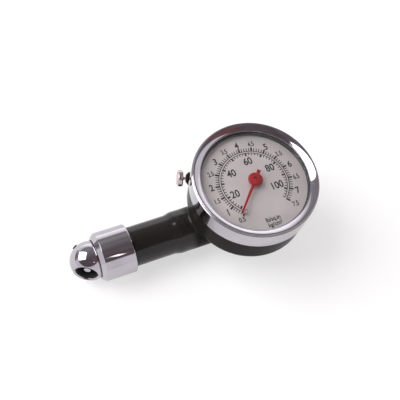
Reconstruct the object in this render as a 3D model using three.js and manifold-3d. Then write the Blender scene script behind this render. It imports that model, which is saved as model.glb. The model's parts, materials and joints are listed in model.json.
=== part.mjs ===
// A pocket dial gauge for tyre pressure: a round chromed head on a black cast body, whose handle
// ends in a chromed collar and a swivelling ball chuck. The Bourdon movement, the air way, the
// check valve that holds the reading and the release valve that clears it are all inside.
// Millimetres, +Z up out of the dial. The origin is the middle of the flat pad on the back, right
// below the centre of the dial, and the handle points along -X.
import * as THREE from 'three';
import { mergeVertices } from 'three/addons/utils/BufferGeometryUtils.js';
import Module from 'manifold-3d';

const wasm = await Module();
wasm.setup();

// ---------------------------------------------------------------- driving dimensions
const BEZEL_R = 25.5;           // outside of the bezel
const CASE_R = 24.7;            // outside of the black case
const COLLAR_R = 10.1;          // outside of the chromed collar
const AXIS_DEPTH = 25;          // from the dial's face back to the handle's axis
const HANDLE_Z = COLLAR_R;      // the collar and the back pad rest on one plane, z = 0
const DIAL_Z = HANDLE_Z + AXIS_DEPTH;
const NECK_R = 8.85;            // the handle's thick part, by the head
const GRIP_R = 8.2;             // its thin part, by the collar
const COLLAR_NEAR = 51;         // distances along the handle from the dial's axis
const COLLAR_FAR = 65.2;
const BALL_AT = 67.7;
const BALL_R = 8;
const CREST = 4.8;              // heights above the dial's face
const SKIRT_BOTTOM = -5;
const CASE_TOP = 0.9;
const CASE_BACK = -19;
const CASE_FLOOR = -17.2;
const REST_ANGLE = 226.3;       // the pointer at zero pressure, in degrees about the dial's axis
const VALVE_ANGLE = 145.5;      // where the release valve leaves the case wall
const VALVE_HEADING = 159;      // the way its axis points
const VALVE_LEVEL = -9;
const CHUCK_MOUTH = new THREE.Vector3(-0.523, -0.844, 0.117).normalize();
const NUB_WAY = new THREE.Vector3(-0.486, 0.829, 0.276).normalize();

// ---------------------------------------------------------------- materials
const paint = (color, roughness, metalness) =>
  new THREE.MeshStandardMaterial({ color, roughness, metalness });
const CHROME = () => paint(0xd8d8de, 0.08, 1);
const NICKEL = () => paint(0xc9b3a8, 0.2, 1);
const BRASS = () => paint(0xb9974f, 0.3, 1);
const STEEL = () => paint(0x9a9ca0, 0.3, 1);
const BLACK = () => paint(0x17161a, 0.15, 0);
const RUBBER = () => paint(0x101010, 0.8, 0);

// ---------------------------------------------------------------- geometry helpers
const deg = (angle) => THREE.MathUtils.degToRad(angle);
const polar = (radius, angle) => [radius * Math.cos(deg(angle)), radius * Math.sin(deg(angle))];

// Signed volume of an indexed triangle mesh: negative when its faces point inwards.
function signedVolume(points, index) {
  const [a, b, c] = [new THREE.Vector3(), new THREE.Vector3(), new THREE.Vector3()];
  let sum = 0;
  for (let i = 0; i < index.length; i += 3) {
    a.fromBufferAttribute(points, index[i]);
    b.fromBufferAttribute(points, index[i + 1]);
    c.fromBufferAttribute(points, index[i + 2]);
    sum += a.dot(b.cross(c));
  }
  return sum / 6;
}

// One closed mesh: shared corners merged, slivers dropped, faces pointing out.
function closed(geometry) {
  const bare = geometry.clone();
  bare.deleteAttribute('normal');
  bare.deleteAttribute('uv');
  const merged = mergeVertices(bare, 1e-4);
  const corners = merged.index.array;
  let index = [];
  for (let i = 0; i < corners.length; i += 3) {
    const [a, b, c] = [corners[i], corners[i + 1], corners[i + 2]];
    if (a !== b && b !== c && c !== a) index.push(a, b, c);
  }
  if (signedVolume(merged.attributes.position, index) < 0) index = index.reverse();
  merged.setIndex(index);
  return merged;
}

function toSolid(geometry) {
  const mesh = closed(geometry);
  const vertProperties = new Float32Array(mesh.attributes.position.array);
  const triVerts = new Uint32Array(mesh.index.array);
  return new wasm.Manifold(new wasm.Mesh({ numProp: 3, vertProperties, triVerts }));
}

function toGeometry(solid) {
  const mesh = solid.getMesh();
  const geometry = new THREE.BufferGeometry();
  geometry.setAttribute('position', new THREE.BufferAttribute(mesh.vertProperties, 3));
  geometry.setIndex(new THREE.BufferAttribute(mesh.triVerts, 1));
  return geometry;
}

const join = (...pieces) => toGeometry(pieces.map(toSolid).reduce((all, one) => all.add(one)));
const cut = (base, ...tools) =>
  toGeometry(tools.map(toSolid).reduce((all, one) => all.subtract(one), toSolid(base)));

// A turned piece about Z from a profile of [radius, height] points.
function turned(profile, segments = 40) {
  const points = profile.map(([radius, height]) => new THREE.Vector2(radius, height));
  return closed(new THREE.LatheGeometry(points, segments).rotateX(Math.PI / 2));
}

const rod = (radius, low, high, segments = 24) =>
  turned([[0, low], [radius, low], [radius, high], [0, high]], segments);

const ring = (inner, outer, low, high, segments = 40) =>
  turned([[inner, low], [outer, low], [outer, high], [inner, high], [inner, low]], segments);

// Points of an arc in a profile, from one angle to another, both ends included.
function arc(radius, height, size, from, to, steps = 5) {
  const points = [];
  for (let i = 0; i <= steps; i += 1) {
    const angle = deg(from + ((to - from) * i) / steps);
    points.push([radius + size * Math.cos(angle), height + size * Math.sin(angle)]);
  }
  return points;
}

// A flat piece cut from a 2-D shape, between two heights.
function plate(shape, low, high, curveSegments = 16) {
  const options = { depth: high - low, bevelEnabled: false, curveSegments };
  return new THREE.ExtrudeGeometry(shape, options).translate(0, 0, low);
}

const block = (x, y, z, width, depth, height) =>
  new THREE.BoxGeometry(width, depth, height).translate(x, y, z);

function circleHole(x, y, radius) {
  const hole = new THREE.Path();
  hole.absarc(x, y, radius, 0, 2 * Math.PI, true);
  return hole;
}

// A drilled hole or a bar between two points.
function bar(from, to, radius, segments = 16) {
  const start = new THREE.Vector3(...from);
  const way = new THREE.Vector3(...to).sub(start);
  const turn = new THREE.Quaternion();
  turn.setFromUnitVectors(new THREE.Vector3(0, 0, 1), way.clone().normalize());
  const geometry = rod(radius, 0, way.length(), segments).applyQuaternion(turn);
  return geometry.translate(start.x, start.y, start.z);
}

// A round wire along a curve.
function wire(curve, radius, steps, sides = 6) {
  const section = new THREE.Shape();
  section.absarc(0, 0, radius, 0, 2 * Math.PI, false);
  const options = { steps, bevelEnabled: false, extrudePath: curve, curveSegments: sides };
  return new THREE.ExtrudeGeometry(section, options);
}

class Helix extends THREE.Curve {
  constructor(radius, low, high, turns) {
    super();
    Object.assign(this, { radius, low, high, turns });
  }

  getPoint(t, target = new THREE.Vector3()) {
    const angle = 2 * Math.PI * this.turns * t;
    const height = this.low + (this.high - this.low) * t;
    return target.set(this.radius * Math.cos(angle), this.radius * Math.sin(angle), height);
  }
}

const coil = (radius, low, high, turns, thickness) =>
  wire(new Helix(radius, low, high, turns), thickness / 2, turns * 8, 3);

function part(name, geometry, material) {
  const mesh = new THREE.Mesh(closed(geometry), material);
  mesh.name = name;
  return mesh;
}

// ---------------------------------------------------------------- nested frames
const gauge = new THREE.Group();
// The head's frame has its origin in the middle of the dial's face.
const head = new THREE.Group();
head.position.z = DIAL_Z;
// The handle's frame has +Z running out to the chuck and +X up.
const handle = new THREE.Group();
handle.position.z = HANDLE_Z;
handle.rotation.y = -Math.PI / 2;
// The release valve's frame has its origin on the case wall and +Z running out to the button.
const valve = new THREE.Group();
const [valveX, valveY] = polar(CASE_R, VALVE_ANGLE);
valve.position.set(valveX, valveY, VALVE_LEVEL);
valve.rotation.set(0, Math.PI / 2, 0);
valve.rotateOnWorldAxis(new THREE.Vector3(0, 0, 1), deg(VALVE_HEADING));
head.add(valve);
// The chuck's frame sits in the ball's centre, in the gauge's own directions.
const chuck = new THREE.Group();
chuck.position.set(-BALL_AT, 0, HANDLE_Z);
gauge.add(head, handle, chuck);

// A geometry made in the handle's or the valve's frame, moved to the head's frame.
const fromHandle = (geometry) =>
  geometry.clone().rotateY(-Math.PI / 2).translate(0, 0, HANDLE_Z - DIAL_Z);
function fromValve(geometry) {
  valve.updateMatrix();
  return geometry.clone().applyMatrix4(valve.matrix);
}

// ---------------------------------------------------------------- head: case, bezel and lens
const SEAT_R = 23.1;            // inside of the case above the dial
const LEDGE_R = 22.4;           // inside of the case below the dial
const BORE_R = 5.2;             // the handle's wide bore, for the check valve
const DUCT_R = 2.6;             // its narrow bore, for the pressure tube
const RISER_AT = -16.5;         // where the pressure tube turns up into the head
const SCREW_SPOT = [-14.7, 12]; // the socket's screws, one on each side of the handle

function caseBody() {
  const cup = turned([
    [0, CASE_BACK],
    ...arc(CASE_R - 3.5, CASE_BACK + 3.5, 3.5, -90, 0, 4),
    [CASE_R, CASE_TOP],
    [SEAT_R, CASE_TOP],
    [SEAT_R, -0.95],
    [LEDGE_R, -0.95],
    [LEDGE_R, CASE_FLOOR],
    [0, CASE_FLOOR],
  ], 48);
  const stem = fromHandle(turned([
    [0, -9],
    ...arc(NECK_R - 3, -6, 3, -90, 0, 4),
    [NECK_R, 30.3],
    [NECK_R - 0.12, 31.3],
    [GRIP_R + 0.12, 33],
    [GRIP_R, 34],
    [GRIP_R, 50.7],
    [7.5, 50.7],
    [7.5, 54.2],
    [0, 54.2],
  ], 32));
  const pad = rod(6.5, -DIAL_Z, -28, 32);
  const valveBoss = fromValve(rod(2.9, -1.4, 0.55, 24));
  const bores = [
    rod(LEDGE_R - 0.01, CASE_FLOOR, 1, 48),
    fromHandle(rod(BORE_R, 36, 56)),
    fromHandle(rod(DUCT_R, -RISER_AT - 2, 37, 16)),
    rod(DUCT_R, -AXIS_DEPTH, CASE_FLOOR + 1, 16).translate(RISER_AT, 0, 0),
    fromValve(rod(2.2, -4, 2, 16)),
    ...[-1, 1].map((side) =>
      rod(1.45, CASE_BACK - 1, CASE_FLOOR + 1, 12).translate(SCREW_SPOT[0], side * SCREW_SPOT[1], 0)),
  ];
  return cut(join(cup, stem, pad, valveBoss), ...bores);
}

const bezelProfile = [
  [21.85, 3.05],
  [21.85, 3.45],
  [22.3, 3.62],
  [24.2, 4.62],
  ...arc(BEZEL_R - 0.75, CREST - 0.75, 0.75, 90, 0, 3),
  [BEZEL_R, SKIRT_BOTTOM],
  [BEZEL_R - 0.45, SKIRT_BOTTOM],
  [BEZEL_R - 0.45, 3.05],
  [21.85, 3.05],
];

// The domed window: a thin flange held under the bezel's lip and a shallow crown.
function lensGeometry() {
  const inside = [];
  const outside = [];
  for (let i = 0; i <= 4; i += 1) {
    const radius = (21.7 * i) / 4;
    const fall = (radius / 21.7) ** 2;
    inside.push([radius, 3.8 - 1.8 * fall]);
    outside.unshift([radius, 4.9 - 1.9 * fall]);
  }
  return turned([...inside, [24.4, 2], [24.4, 3], ...outside], 40);
}

const gasketProfile = [
  [21.95, 0.1], [22.9, 0.1], [22.9, 1], [24.4, 1], [24.4, 1.9], [21.95, 1.9], [21.95, 0.1],
];

head.add(
  part('case_body', caseBody(), BLACK()),
  part('bezel_ring', turned(bezelProfile, 56), CHROME()),
  part('lens', lensGeometry(), paint(0xf4f6f8, 0.05, 0)),
  part('lens_gasket', turned(gasketProfile, 40), RUBBER()),
);

// ---------------------------------------------------------------- head: dial and pointer
const STOP_R = 14.5;            // where the stop pin stands
const STOP_ANGLE = 231;
const TIP_R = 16.2;             // reach of the pointer
const TAIL_R = 4.6;
const TAIL_HALF = 0.8;          // half the pointer's width at its tail, its middle and its tip
const NEEDLE_HALF = 0.55;
const TIP_HALF = 0.28;
const POINTER_BORE = 0.6;
const BOSS_BOTTOM = 0.95;       // underside of the pointer's boss
const ARBOR_TIP = 2.4;          // leaves a small pit in the middle of the pointer's cap
const [stopX, stopY] = polar(STOP_R, STOP_ANGLE);

function dialPlate() {
  const disc = new THREE.Shape();
  disc.absarc(0, 0, 22.8, 0, 2 * Math.PI, false);
  disc.holes.push(circleHole(0, 0, 1.1), circleHole(stopX, stopY, 0.6));
  return plate(disc, -0.8, 0, 18);
}

const stopPin = turned([
  [0, -1.2], [0.3, -1.2], [0.3, 0.05], [0.65, 0.05], [0.65, 2.5], [0.45, 2.7], [0, 2.7],
], 16).translate(stopX, stopY, 0);

// The pointer: a thin needle with a short square tail, under a domed round cap.
function pointerGeometry() {
  const needle = new THREE.Shape();
  needle.moveTo(-TAIL_R, -TAIL_HALF);
  needle.lineTo(0, -NEEDLE_HALF);
  needle.lineTo(TIP_R - TIP_HALF, -TIP_HALF);
  needle.absarc(TIP_R - TIP_HALF, 0, TIP_HALF, -Math.PI / 2, Math.PI / 2, false);
  needle.lineTo(0, NEEDLE_HALF);
  needle.lineTo(-TAIL_R, TAIL_HALF);
  needle.closePath();
  const cap = turned([
    [0, BOSS_BOTTOM],
    [1.5, BOSS_BOTTOM],
    [1.5, 1.95],
    [2.9, 1.95],
    [2.9, 2.75],
    [2.55, 3.05],
    [1.2, 3.3],
    [0, 3.3],
  ], 24);
  const blade = plate(needle, 2.05, 2.5, 6).rotateZ(deg(REST_ANGLE));
  return cut(join(cap, blade), rod(POINTER_BORE, BOSS_BOTTOM - 0.5, 4, 20));
}

head.add(
  part('dial_plate', dialPlate(), paint(0xb7b2b2, 0.35, 0.7)),
  part('stop_pin', stopPin, NICKEL()),
  part('pointer', pointerGeometry(), paint(0xc01824, 0.35, 0)),
);

// ---------------------------------------------------------------- head: movement
const PLATE_R = 13.2;
const SECTOR_PIVOT = polar(11, -60);
const SECTOR_REACH = 9.75;      // from the sector's pivot to the tips of its teeth
const [armX, armY] = polar(5, -130);
const TAIL_PIN = [SECTOR_PIVOT[0] + armX, SECTOR_PIVOT[1] + armY];
const TIP_EYE = polar(15.6, -112);
const PILLARS = [polar(10.4, 0), polar(10.4, 130), polar(10.4, 250)];

// A movement plate: a disc with holes for the two arbors and the pillars' ends.
function movementPlate(low, high) {
  const disc = new THREE.Shape();
  disc.absarc(0, 0, PLATE_R, 0, 2 * Math.PI, false);
  disc.holes.push(circleHole(0, 0, 0.9), circleHole(...SECTOR_PIVOT, 1));
  PILLARS.forEach((spot) => disc.holes.push(circleHole(...spot, 1.2)));
  return plate(disc, low, high, 8);
}

// A turned post that stands on the case floor and carries both plates.
const pillar = () => cut(turned([
  [0, CASE_FLOOR + 0.1],
  [2, CASE_FLOOR + 0.1],
  [2, -13.7],
  [0.9, -13.7],
  [0.9, -12.1],
  [1.7, -12.1],
  [1.7, -4.9],
  [0, -4.9],
], 16), rod(0.9, -8, -4, 12));
const plateScrew = () => turned([
  [0, -7.5], [0.6, -7.5], [0.6, -3.3], [1.7, -3.3], [1.7, -2.6], [1.3, -2.3], [0, -2.3],
], 16);

PILLARS.forEach((spot, i) => {
  const post = part(`pillar_${i + 1}`, pillar(), BRASS());
  post.position.set(...spot, 0);
  const screw = part(`plate_screw_${i + 1}`, plateScrew(), STEEL());
  screw.position.set(...spot, 0);
  head.add(post, screw);
});

// Gear teeth as a toothed arc of points, from one angle to another.
function toothed(shape, root, tip, from, to, teeth) {
  const pitch = (to - from) / teeth;
  for (let i = 0; i < teeth; i += 1) {
    const start = from + i * pitch;
    shape.lineTo(...polar(root, start + 0.15 * pitch));
    shape.lineTo(...polar(tip, start + 0.38 * pitch));
    shape.lineTo(...polar(tip, start + 0.62 * pitch));
    shape.lineTo(...polar(root, start + 0.85 * pitch));
  }
}

// The pinion and its arbor, which carries the pointer.
function pinionArbor() {
  const gear = new THREE.Shape();
  gear.moveTo(...polar(0.75, 0));
  toothed(gear, 0.75, 1, 0, 360, 9);
  gear.closePath();
  const shaft = turned([
    [0, -14.1],
    [0.35, -14.1],
    [0.55, -13.9],
    [0.55, BOSS_BOTTOM - 0.35],
    [0.3, BOSS_BOTTOM - 0.3],
    [0.3, ARBOR_TIP],
    [0, ARBOR_TIP],
  ], 16);
  return join(plate(gear, -11.6, -7.4), shaft);
}

// A strap with round ends between two points.
function strap(from, to, fromRadius, toRadius) {
  const along = Math.atan2(to[1] - from[1], to[0] - from[0]);
  const shape = new THREE.Shape();
  shape.absarc(...from, fromRadius, along + Math.PI / 2, along + 1.5 * Math.PI, false);
  shape.absarc(...to, toRadius, along - Math.PI / 2, along + Math.PI / 2, false);
  shape.closePath();
  return shape;
}

// The sector gear: a toothed fan that meets the pinion and an arm out to the link. At rest the
// pinion is near the fan's leading end, and the whole swing stays in mesh.
function sectorGear() {
  const fan = new THREE.Shape();
  fan.moveTo(0, 0);
  toothed(fan, 9.25, SECTOR_REACH, 83, 126, 13);
  fan.lineTo(0, 0);
  const blade = plate(fan, -11, -10).translate(...SECTOR_PIVOT, 0);
  const arm = plate(strap(SECTOR_PIVOT, TAIL_PIN, 1.9, 1.2), -11, -10, 6);
  const shaft = rod(0.7, -14, -3.2, 12).translate(...SECTOR_PIVOT, 0);
  const pin = rod(0.5, -11, -8.2, 12).translate(...TAIL_PIN, 0);
  return join(blade, arm, shaft, pin);
}

// The link from the Bourdon tube's tip to the sector's arm, with an eye at each end.
function linkGeometry() {
  const strip = strap(TIP_EYE, TAIL_PIN, 1.3, 1.3);
  strip.holes.push(circleHole(...TIP_EYE, 0.6), circleHole(...TAIL_PIN, 0.8));
  return plate(strip, -9.6, -9, 6);
}

class FlatSpiral extends THREE.Curve {
  getPoint(t, target = new THREE.Vector3()) {
    const radius = 1.5 + 3.2 * t;
    return target.set(...polar(radius, 900 * t), -6);
  }
}

function hairspringGeometry() {
  const ribbon = new THREE.Shape();
  ribbon.moveTo(-0.4, -0.06);
  ribbon.lineTo(0.4, -0.06);
  ribbon.lineTo(0.4, 0.06);
  ribbon.lineTo(-0.4, 0.06);
  ribbon.closePath();
  const options = { steps: 36, bevelEnabled: false, extrudePath: new FlatSpiral() };
  return new THREE.ExtrudeGeometry(ribbon, options);
}

head.add(
  part('movement_back_plate', movementPlate(-13.4, -12.4), BRASS()),
  part('movement_front_plate', movementPlate(-4.6, -3.6), BRASS()),
  part('pinion_arbor', pinionArbor(), STEEL()),
  part('sector_gear', sectorGear(), BRASS()),
  part('movement_link', linkGeometry(), STEEL()),
  part('hairspring', hairspringGeometry(), STEEL()),
);

// ---------------------------------------------------------------- head: socket and Bourdon tube
const TUBE_R = 18.5;            // radius of the Bourdon tube's bend
const TUBE_START = 132;
const TUBE_END = -120;

// The brass socket: an arc-shaped block with the air ways drilled in it.
function socketBlock() {
  const sector = new THREE.Shape();
  sector.absarc(0, 0, 22, deg(134), deg(226), false);
  sector.absarc(0, 0, 13.7, deg(226), deg(134), true);
  sector.closePath();
  const [rootX, rootY] = polar(TUBE_R, TUBE_START + 4);
  const drills = [
    rod(1.2, -18, VALVE_LEVEL).translate(RISER_AT, 0, 0),
    bar([RISER_AT, 0, VALVE_LEVEL], [RISER_AT, 11.5, VALVE_LEVEL], 0.8),
    bar([RISER_AT, 0, VALVE_LEVEL - 2], [rootX, rootY, VALVE_LEVEL - 2], 0.8),
    fromValve(rod(2.2, -10.5, 1)),
    ...[-1, 1].map((side) =>
      rod(1.45, -18, -12.9, 16).translate(SCREW_SPOT[0], side * SCREW_SPOT[1], 0)),
  ];
  return cut(plate(sector, CASE_FLOOR + 0.1, -5.8, 8), ...drills);
}

// The C-shaped pressure tube, a flattened hollow section bent round the movement.
function bourdonTube() {
  const oval = new THREE.Shape();
  oval.absellipse(0, 0, 3, 1.2, 0, 2 * Math.PI, false);
  const bore = new THREE.Path();
  bore.absellipse(0, 0, 2.6, 0.8, 0, 2 * Math.PI, true);
  oval.holes.push(bore);
  const bend = new THREE.CatmullRomCurve3();
  for (let i = 0; i <= 32; i += 1) {
    const angle = TUBE_START + ((TUBE_END - TUBE_START) * i) / 32;
    bend.points.push(new THREE.Vector3(...polar(TUBE_R, angle), 0));
  }
  const options = { steps: 28, bevelEnabled: false, extrudePath: bend, curveSegments: 5 };
  return new THREE.ExtrudeGeometry(oval, options).translate(0, 0, VALVE_LEVEL - 2);
}

// The tube's closed tip, with the lug that the link reaches over.
function tubeTip() {
  const cap = new THREE.Shape();
  cap.absarc(0, 0, TUBE_R + 1.4, deg(TUBE_END - 6), deg(TUBE_END - 0.8), false);
  cap.absarc(0, 0, TUBE_R - 2.2, deg(TUBE_END - 0.8), deg(TUBE_END - 6), true);
  cap.closePath();
  const lug = strap(TIP_EYE, polar(TUBE_R - 1.9, TUBE_END - 3.6), 1.3, 0.6);
  lug.holes.push(circleHole(...TIP_EYE, 0.6));
  return join(plate(cap, VALVE_LEVEL - 5.1, VALVE_LEVEL + 1.1, 3), plate(lug, -11, -10, 6));
}

const socketScrew = () => turned([
  [0, CASE_BACK - 1.3],
  [1.7, CASE_BACK - 1.3],
  [2.2, CASE_BACK - 0.8],
  [2.2, CASE_BACK - 0.1],
  [1.1, CASE_BACK - 0.1],
  [1.1, -13.2],
  [0, -13.2],
], 20);
const slot = (x, y) => block(x, y, CASE_BACK - 1.2, 5, 0.5, 0.8);

head.add(
  part('socket_block', socketBlock(), BRASS()),
  part('bourdon_tube', bourdonTube(), BRASS()),
  part('tube_tip', tubeTip(), BRASS()),
);
[-1, 1].forEach((side, i) => {
  const screw = part(`socket_screw_${i + 1}`, cut(socketScrew(), slot(0, 0)), STEEL());
  screw.position.set(SCREW_SPOT[0], side * SCREW_SPOT[1], 0);
  head.add(screw);
});

// ---------------------------------------------------------------- release valve
const buttonProfile = [
  [0, -8.6],
  [0.6, -8.6],
  [0.6, -7.4],
  [1.7, -7.4],
  [1.7, -6.7],
  [0.7, -6.7],
  [0.7, 3.2],
  [3.1, 3.2],
  [3.4, 3.5],
  [3.4, 5],
  [2.9, 5.4],
  [0, 5.5],
];
const bushProfile = [
  [1, -6], [1.9, -6], [1.9, 0.65], [2.6, 0.65], [2.6, 0.9], [1.5, 1.9], [1, 1.9], [1, -6],
];
valve.add(
  part('release_bush', turned(bushProfile, 20), BLACK()),
  part('release_button', turned(buttonProfile, 24), NICKEL()),
  part('release_seal', ring(0.95, 1.7, -6.6, -6.1, 20), RUBBER()),
  part('release_spring', coil(1.35, -10.2, -7.75, 4, 0.35), STEEL()),
);

// ---------------------------------------------------------------- handle: air way and check valve
// The pressure tube runs from the check valve's end up into the socket block.
function pressureTube() {
  const route = new THREE.CurvePath();
  const corner = -RISER_AT;
  const bend = 4;
  const start = new THREE.Vector3(0, 0, 40.2);
  const near = new THREE.Vector3(0, 0, corner + bend);
  const up = new THREE.Vector3(bend, 0, corner);
  const end = new THREE.Vector3(AXIS_DEPTH + CASE_FLOOR - 0.3, 0, corner);
  route.add(new THREE.LineCurve3(start, near));
  route.add(new THREE.QuadraticBezierCurve3(near, new THREE.Vector3(0, 0, corner), up));
  route.add(new THREE.LineCurve3(up, end));
  const section = new THREE.Shape();
  section.absarc(0, 0, 1.6, 0, 2 * Math.PI, false);
  section.holes.push(circleHole(0, 0, 1));
  const options = { steps: 20, bevelEnabled: false, extrudePath: route, curveSegments: 4 };
  return new THREE.ExtrudeGeometry(section, options);
}

const valveBodyProfile = [
  [2.9, 40.6],
  [4.8, 40.6],
  [4.8, 51],
  [1.2, 51],
  [1.2, 48.7],
  [2.9, 48.7],
  [2.9, 40.6],
];
const poppetProfile = [
  [0, 43.5], [0.7, 43.5], [0.7, 46.6], [2.5, 46.6], [2.5, 47.8], [1.9, 48.4], [0, 48.4],
];
handle.add(
  part('pressure_tube', pressureTube(), BRASS()),
  part('check_valve_body', turned(valveBodyProfile, 24), BRASS()),
  part('check_valve_poppet', turned(poppetProfile, 16), RUBBER()),
  part('check_valve_spring', coil(1.7, 41.2, 46.2, 5, 0.4), STEEL()),
);

// ---------------------------------------------------------------- chuck: collar and ball
const STEM_R = 4.6;
const collarProfile = [
  [7.9, COLLAR_NEAR],
  [COLLAR_R - 0.5, COLLAR_NEAR],
  ...arc(COLLAR_R - 0.5, COLLAR_NEAR + 0.5, 0.5, -90, 0, 3).slice(1),
  [COLLAR_R, COLLAR_FAR - 1.7],
  [COLLAR_R - 1.5, COLLAR_FAR],
  [BALL_R + 0.35, COLLAR_FAR],
  [BALL_R + 0.35, 60.4],
  [STEM_R + 0.35, 60.4],
  [STEM_R + 0.35, 57.9],
  [7.9, 57.9],
  [7.9, COLLAR_NEAR],
];
handle.add(
  part('collar_nut', turned(collarProfile, 40), CHROME()),
  part('swivel_washer', ring(5.4, 7.2, 54.5, 55.3, 32), RUBBER()),
);

// Turns a piece made along +Z so that it points the given way from the ball's centre.
function aimed(geometry, way) {
  const turn = new THREE.Quaternion().setFromUnitVectors(new THREE.Vector3(0, 0, 1), way);
  return geometry.applyQuaternion(turn);
}
const OUT = new THREE.Vector3(-1, 0, 0);
const POCKET_R = 4.45;
const MOUTH = 6;                // from the ball's centre to the flat face round its mouth

// The ball and its swivel stem in one piece, with the tyre valve's pocket in its side.
function chuckBall() {
  const ball = new THREE.SphereGeometry(BALL_R, 28, 18);
  const stem = turned([
    [0, 55.6 - BALL_AT], [6.8, 55.6 - BALL_AT], [6.8, 57.6 - BALL_AT], [STEM_R, 57.6 - BALL_AT],
    [STEM_R, -3], [0, -3],
  ], 24);
  const pocket = turned([
    [0, -0.3],
    [POCKET_R, -0.3],
    [POCKET_R, MOUTH - 0.4],
    [POCKET_R + 0.4, MOUTH],
    [POCKET_R + 0.4, 9],
    [0, 9],
  ], 24);
  const face = rod(8, MOUTH, 10, 16);
  const air = rod(1.6, -14, 1.2, 12);
  const nubHole = rod(1, 6.2, 9, 12);
  return cut(join(ball, aimed(stem, OUT)), aimed(pocket, CHUCK_MOUTH), aimed(face, CHUCK_MOUTH),
    aimed(air, OUT), aimed(nubHole, NUB_WAY));
}

const depressor = turned([
  [0, 0], [1.7, 0], [1.7, 0.5], [1.35, 0.5], [1.35, 4.4], [1.15, 4.6], [0, 4.6],
], 24);
const seal = turned([
  [2.3, 0.8], [4.15, 0.8], [4.15, 1.9], [2.6, 1.9], [2.3, 1.6], [2.3, 0.8],
], 24);
const nub = turned([[0, 6.5], [0.7, 6.5], [0.7, 7.9], [0.45, 8.2], [0, 8.2]], 12);

chuck.add(
  part('chuck_ball', chuckBall(), CHROME()),
  part('chuck_seal', aimed(seal, CHUCK_MOUTH), RUBBER()),
  part('core_depressor', aimed(depressor, CHUCK_MOUTH), CHROME()),
  part('deflator_nub', aimed(nub, NUB_WAY), STEEL()),
);

export default gauge;
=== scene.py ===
"""The looks of a pocket dial gauge for tire pressure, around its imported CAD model.

Shapes are worked out in millimetres in the CAD's own frame: +Z out of the dial, -X along the
handle, and the origin in the middle of the flat pad on the back. MM turns them into metres.
"""
import json
import math

import bmesh
import bpy
import numpy as np
from mathutils import Matrix, Vector


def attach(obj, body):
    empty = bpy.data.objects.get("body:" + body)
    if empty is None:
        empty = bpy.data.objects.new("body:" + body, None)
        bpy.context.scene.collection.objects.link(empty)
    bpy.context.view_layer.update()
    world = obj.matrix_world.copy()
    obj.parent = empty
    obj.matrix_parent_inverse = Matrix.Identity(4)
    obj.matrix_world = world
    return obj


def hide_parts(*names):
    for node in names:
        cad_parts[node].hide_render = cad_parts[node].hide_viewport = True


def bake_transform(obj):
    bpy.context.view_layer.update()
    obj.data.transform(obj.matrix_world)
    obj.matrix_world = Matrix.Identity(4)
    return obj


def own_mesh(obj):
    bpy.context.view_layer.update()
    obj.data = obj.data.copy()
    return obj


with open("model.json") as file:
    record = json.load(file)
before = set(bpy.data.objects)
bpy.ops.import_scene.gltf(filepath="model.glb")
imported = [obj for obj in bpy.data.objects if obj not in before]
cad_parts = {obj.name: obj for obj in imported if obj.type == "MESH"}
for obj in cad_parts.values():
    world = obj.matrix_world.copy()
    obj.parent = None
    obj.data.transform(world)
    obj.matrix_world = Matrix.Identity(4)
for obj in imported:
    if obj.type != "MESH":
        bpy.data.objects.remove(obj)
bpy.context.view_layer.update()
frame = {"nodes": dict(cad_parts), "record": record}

MM = 0.001

# ---------------------------------------------------------------- driving dimensions, in mm
BEZEL_R = 25.5
CASE_R = 24.7
COLLAR_R = 10.1
HANDLE_Z = COLLAR_R
DIAL_Z = HANDLE_Z + 25
NECK_R = 8.85
GRIP_R = 8.2
COLLAR_NEAR = 51.0
COLLAR_FAR = 65.2
BALL_AT = 67.7
BALL_R = 8.0
CREST = 4.8
SKIRT_BOTTOM = -5.0
CASE_TOP = 0.9
CASE_BACK = -19.0
CASE_FLOOR = -17.2
SEAT_R = 23.1
LEDGE_R = 22.4
POINTER_ANGLE = 226.3
STOP_ANGLE = 231.0
STOP_R = 14.5
VALVE_ANGLE = 145.5
VALVE_HEADING = 159.0
VALVE_LEVEL = -9.0
SCREW_SPOT = (-14.7, 12.0)
CHUCK_MOUTH = Vector((-0.523, -0.844, 0.117)).normalized()
NUB_WAY = Vector((-0.486, 0.829, 0.276)).normalized()
UP = Vector((0, 0, 1))
OUT = Vector((-1, 0, 0))

HEAD = Vector((0, 0, DIAL_Z))
HANDLE = Vector((0, 0, HANDLE_Z))
BALL = Vector((-BALL_AT, 0, HANDLE_Z))


def polar(radius, degrees):
    """A point of a circle about the dial's axis."""
    turn = math.radians(degrees)
    return radius * math.cos(turn), radius * math.sin(turn)


VALVE = Vector((*polar(CASE_R, VALVE_ANGLE), DIAL_Z + VALVE_LEVEL))
VALVE_WAY = Vector((*polar(1, VALVE_HEADING), 0))


# ---------------------------------------------------------------- material helpers
def new_material(name):
    """A material and its shader node."""
    made = bpy.data.materials.new(name)
    made.use_nodes = True
    return made, made.node_tree.nodes["Principled BSDF"]


def add_node(shader, kind, **settings):
    """A node next to the shader: capitalised settings are inputs, the others are properties."""
    made = shader.id_data.nodes.new(kind)
    for key, value in settings.items():
        if key[0].isupper():
            made.inputs[key.replace("_", " ")].default_value = value
        else:
            setattr(made, key, value)
    return made


def link(source, target):
    target.id_data.links.new(source, target)


def feed(value, socket):
    """Gives an input a number, a colour, or another node's output."""
    if isinstance(value, (int, float)):
        socket.default_value = value
    elif isinstance(value, tuple):
        socket.default_value = (*value, 1)
    else:
        link(value, socket)


def math_node(shader, operation, first, second):
    """A maths node; its inputs are sockets or numbers."""
    made = add_node(shader, "ShaderNodeMath", operation=operation)
    feed(first, made.inputs[0])
    feed(second, made.inputs[1])
    return made.outputs[0]


MIX_SHARE, MIX_FIRST, MIX_SECOND, MIX_RESULT = 0, 6, 7, 2     # a mix node's sockets for colours


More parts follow.
